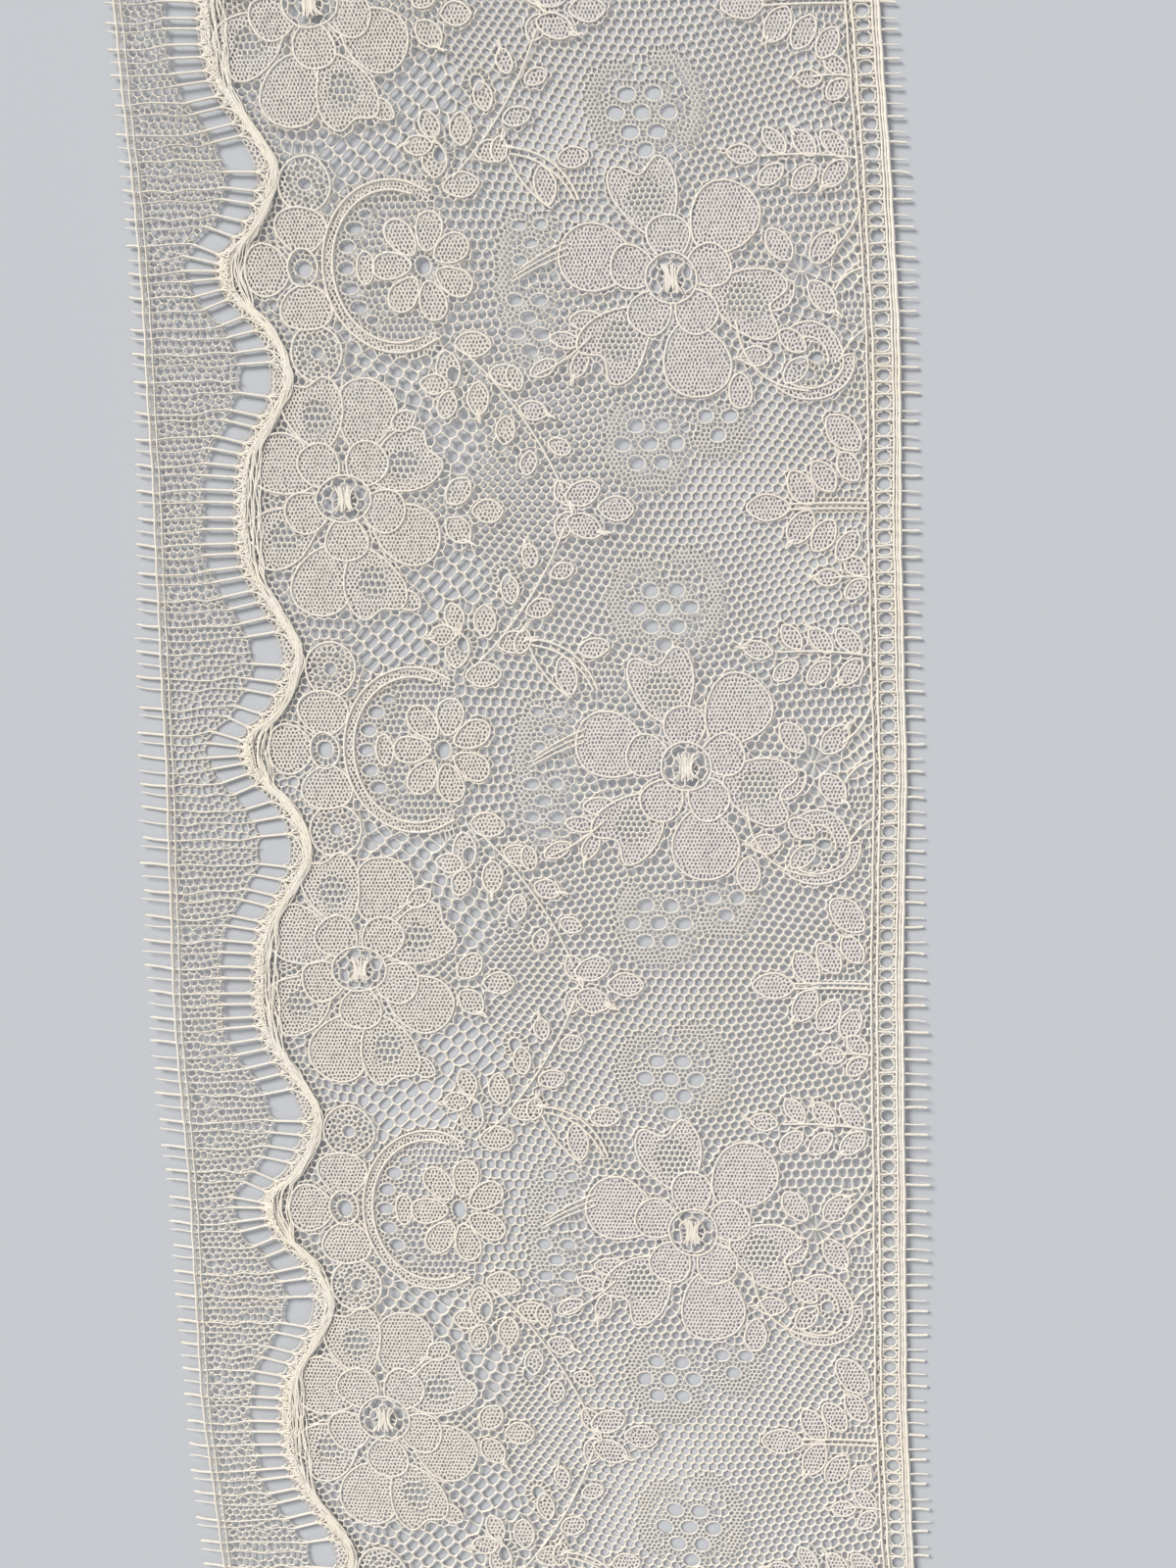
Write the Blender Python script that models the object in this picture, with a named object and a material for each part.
"""A cut length of lace edging, lying flat.

The edging is worked in one piece, in bands that run along its length. From the left:
a selvage with a fringe of cut thread ends, a margin of plain net, a row of open bars,
a padded cord that follows the scallops, the flowered field, a ladder footing, and the
right selvage with its own fringe. Each band is a flat sheet here.

Units are metres, and +Z is up. The edging runs along Y, its width is along X, and its
underside is at Z = 0. The origin is the middle of its outline.
"""

import bpy
import math

MM = 0.001

# Driving dimensions, in millimetres.
LENGTH = 200.0
SELVAGE_TO_SELVAGE = 84.5
THICKNESS = 1.0
CORD_THICKNESS = 1.2
GAP = 0.31
SLOPED_GAP = 0.43          # taken straight across, it leaves 0.3 where the cord slants most

SELVAGE_WIDTH = 0.8
SELVAGE_OVERHANG = 0.35

BAR_PITCH = 1.55
BAR_WIDTH = 0.45
BAR_ROW_RAIL = 0.5
SLOT_LENGTH = 3.75
CUSP_SLOT = 2.7
BAR_FAN = 0.6

CORD_WIDTH = 1.5

FOOTING_START = 80.5
FOOTING_BAND = 1.2
FOOTING_RAIL = 0.35
FOOTING_HOLE_LENGTH = 1.3
FOOTING_HOLE_PITCH = 3.1
RIGHT_SELVAGE_START = 83.9

TOOTH_PITCH = 1.5
TOOTH_WIDTH = 0.5
TOOTH_RISE = 0.12
END_MARGIN = 0.8

OUTLINE_STEP = 2.5
EDGE_STEP = 10.0

# The two selvages wander a little, as the edging lies. Each row is
# (along, left selvage x, right selvage x, left fringe length, right fringe length).
EDGES = [
    (-100, -36.3, 46.0, 2.9, 2.0),
    (-85, -37.9, 44.9, 2.7, 2.3),
    (-70, -39.5, 44.1, 2.2, 2.5),
    (-55, -40.1, 43.7, 2.5, 2.9),
    (-40, -40.7, 43.3, 2.9, 3.0),
    (-25, -41.7, 42.9, 3.2, 3.0),
    (-10, -42.0, 42.8, 3.3, 2.6),
    (5, -42.2, 42.8, 3.2, 2.2),
    (20, -42.6, 42.2, 2.8, 2.2),
    (35, -42.9, 41.7, 2.1, 2.3),
    (50, -43.4, 41.4, 1.6, 2.2),
    (65, -44.0, 40.5, 1.4, 2.3),
    (80, -45.2, 39.3, 1.2, 2.1),
    (100, -46.9, 37.5, 1.2, 1.9),
]

# One repeat of the scalloped cord. Each row is (along, distance in from the left selvage).
# The cord turns back to the left at the two cusps, where the largest slots are.
SCALLOP_REPEAT = 54.25
SCALLOP = [
    (-19.6, 10.0),
    (-12.8, 10.9),
    (-7.9, 13.7),
    (-3.9, 15.3),
    (1.0, 13.7),
    (4.5, 10.6),
    (7.5, 9.4),
    (10.0, 10.0),
    (12.0, 12.2),
    (15.9, 14.4),
    (19.8, 15.1),
    (24.3, 12.7),
    (28.7, 10.5),
]
CUSPS = [-3.9, 19.8]


def smooth(rows, at, column):
    """The column's value at a place along, on a smooth curve through the rows."""
    last = len(rows) - 1
    k = 0
    while k < last - 1 and rows[k + 1][0] < at:
        k += 1
    (x0, y0), (x1, y1) = [(rows[i][0], rows[i][column]) for i in (k, k + 1)]
    before, after = rows[max(k - 1, 0)], rows[min(k + 2, last)]
    slope0 = (y1 - before[column]) / (x1 - before[0])
    slope1 = (after[column] - y0) / (after[0] - x0)
    span = x1 - x0
    t = (at - x0) / span
    return (
        (2 * t**3 - 3 * t**2 + 1) * y0
        + (t**3 - 2 * t**2 + t) * span * slope0
        + (3 * t**2 - 2 * t**3) * y1
        + (t**3 - t**2) * span * slope1
    )


def place(across, along):
    """The point, in metres, that lies this far in from the left selvage."""
    left, right = smooth(EDGES, along, 1), smooth(EDGES, along, 2)
    x = left + (right - left) * across / SELVAGE_TO_SELVAGE
    return x * MM, along * MM


def wave_rows():
    """The scallop's rows for three repeats end to end, so any phase has neighbours."""
    return [
        (along + turn * SCALLOP_REPEAT, across)
        for turn in (-1, 0, 1)
        for along, across in SCALLOP
    ]


WAVE = wave_rows()


def cord(along):
    """How far in from the left selvage the middle of the scalloped cord is."""
    start = SCALLOP[0][0]
    phase = (along - start) % SCALLOP_REPEAT + start
    return smooth(WAVE, phase, 1)


def stations(start, stop, step):
    count = max(1, round((stop - start) / step))
    return [start + (stop - start) * k / count for k in range(count + 1)]


def band(left, right, left_step, right_step):
    """The outline of a band between two edges, each a distance in as a function of along."""
    half = LENGTH / 2
    up = [place(right(y), y) for y in stations(-half, half, right_step)]
    down = [place(left(y), y) for y in reversed(stations(-half, half, left_step))]
    return up + down


def bar_places():
    """Where each bar's middle meets the cord's side, cusp slot by cusp slot."""
    half = LENGTH / 2
    cusps = sorted(
        cusp + turn * SCALLOP_REPEAT for turn in range(-3, 4) for cusp in CUSPS
    )
    places = []
    for low, high in zip(cusps, cusps[1:]):
        places += stations(low + CUSP_SLOT / 2, high - CUSP_SLOT / 2, BAR_PITCH)
    inside = half - END_MARGIN - BAR_FAN * SLOT_LENGTH
    return [y for y in places if abs(y) < inside]


def slot_outlines():
    """One four-cornered slot between each two bars, fanned square to the cord."""
    near = CORD_WIDTH / 2 + SLOPED_GAP + BAR_ROW_RAIL
    far = near + SLOT_LENGTH
    look = 2.0
    outlines = []
    places = bar_places()
    for low, high in zip(places, places[1:]):
        inner, outer = [], []
        for y in (low + BAR_WIDTH / 2, high - BAR_WIDTH / 2):
            lean = BAR_FAN * (cord(y + look) - cord(y - look)) / (2 * look)
            inner.append((cord(y) - near, y))
            outer_y = y + SLOT_LENGTH * lean
            outer.append((cord(outer_y) - far, outer_y))
        corners = [outer[0], inner[0], inner[1], outer[1]]
        outlines.append([place(*corner) for corner in corners])
    return outlines


def ladder_outlines():
    """Every second hole of the footing's ladder, the larger ones."""
    half = LENGTH / 2 - END_MARGIN - FOOTING_HOLE_PITCH / 2
    left = FOOTING_START + FOOTING_BAND
    right = RIGHT_SELVAGE_START - GAP - FOOTING_RAIL
    outlines = []
    for y in stations(-half, half, FOOTING_HOLE_PITCH):
        low, high = y - FOOTING_HOLE_LENGTH / 2, y + FOOTING_HOLE_LENGTH / 2
        corners = [(left, low), (right, low), (right, high), (left, high)]
        outlines.append([place(*corner) for corner in corners])
    return outlines


def comb(inner, outer, direction, length_column):
    """A selvage strip whose outer edge carries the cut thread ends of the fringe."""
    half = LENGTH / 2
    straight = [place(inner, y) for y in stations(-half, half, EDGE_STEP)]
    toothed = [place(outer, half)]
    for y in reversed(stations(-half + END_MARGIN, half - END_MARGIN, TOOTH_PITCH)):
        length = smooth(EDGES, y, length_column)
        toothed.append(place(outer, y + TOOTH_WIDTH / 2))
        toothed.append(place(outer + direction * length, y + TOOTH_RISE * length))
        toothed.append(place(outer, y - TOOTH_WIDTH / 2))
    toothed.append(place(outer, -half))
    return straight + toothed


def cotton(name, colour):
    """Undyed cotton, matt and ivory."""
    material = bpy.data.materials.new(name)
    material.use_nodes = True
    material.diffuse_color = (*colour, 1.0)
    shader = material.node_tree.nodes["Principled BSDF"]
    shader.inputs["Base Color"].default_value = (*colour, 1.0)
    shader.inputs["Roughness"].default_value = 0.9
    shader.inputs["Metallic"].default_value = 0.0
    return material


def flat_sheet(name, outlines, thickness, material):
    """A sheet on Z = 0, from its outer outline and the outlines of its holes."""
    curve = bpy.data.curves.new(name, "CURVE")
    curve.dimensions = "2D"
    curve.fill_mode = "BOTH"
    curve.extrude = thickness * MM / 2
    for outline in outlines:
        spline = curve.splines.new("POLY")
        spline.points.add(len(outline) - 1)
        for point, (x, y) in zip(spline.points, outline):
            point.co = (x, y, 0.0, 1.0)
        spline.use_cyclic_u = True
    curve.materials.append(material)
    sheet = bpy.data.objects.new(name, curve)
    sheet.location.z = thickness * MM / 2
    bpy.context.scene.collection.objects.link(sheet)
    return sheet


def left_fringe():
    outline = comb(SELVAGE_WIDTH - SELVAGE_OVERHANG, -SELVAGE_OVERHANG, -1, 3)
    flat_sheet("left_fringe", [outline], THICKNESS, cotton("cut ends, left", (0.79, 0.73, 0.64)))


def margin_net():
    start = SELVAGE_WIDTH - SELVAGE_OVERHANG + GAP
    reach = CORD_WIDTH / 2 + 2 * BAR_ROW_RAIL + SLOT_LENGTH + 2 * SLOPED_GAP
    outline = band(lambda y: start, lambda y: cord(y) - reach, EDGE_STEP, OUTLINE_STEP)
    flat_sheet("margin_net", [outline], THICKNESS, cotton("margin net", (0.62, 0.58, 0.53)))


def bar_row():
    near = CORD_WIDTH / 2 + SLOPED_GAP
    far = near + 2 * BAR_ROW_RAIL + SLOT_LENGTH
    outline = band(
        lambda y: cord(y) - far, lambda y: cord(y) - near, OUTLINE_STEP, OUTLINE_STEP
    )
    outlines = [outline] + slot_outlines()
    flat_sheet("bar_row", outlines, THICKNESS, cotton("bars", (0.74, 0.69, 0.61)))


def scallop_cord():
    half = CORD_WIDTH / 2
    outline = band(
        lambda y: cord(y) - half, lambda y: cord(y) + half, OUTLINE_STEP, OUTLINE_STEP
    )
    flat_sheet("scallop_cord", [outline], CORD_THICKNESS, cotton("padded cord", (0.85, 0.79, 0.70)))


def lace_field():
    start = CORD_WIDTH / 2 + SLOPED_GAP
    stop = FOOTING_START - GAP
    outline = band(lambda y: cord(y) + start, lambda y: stop, OUTLINE_STEP, EDGE_STEP)
    flat_sheet("lace_field", [outline], THICKNESS, cotton("flowered field", (0.66, 0.61, 0.56)))


def footing():
    stop = RIGHT_SELVAGE_START - GAP
    outline = band(lambda y: FOOTING_START, lambda y: stop, EDGE_STEP, EDGE_STEP)
    outlines = [outline] + ladder_outlines()
    flat_sheet("footing", outlines, THICKNESS, cotton("ladder footing", (0.77, 0.72, 0.64)))


def right_fringe():
    outline = comb(RIGHT_SELVAGE_START, SELVAGE_TO_SELVAGE, 1, 4)
    flat_sheet("right_fringe", [outline], THICKNESS, cotton("cut ends, right", (0.79, 0.73, 0.64)))


def main():
    for leftover in list(bpy.data.objects):
        bpy.data.objects.remove(leftover)
    for make in (
        left_fringe,
        margin_net,
        bar_row,
        scallop_cord,
        lace_field,
        footing,
        right_fringe,
    ):
        make()


main()
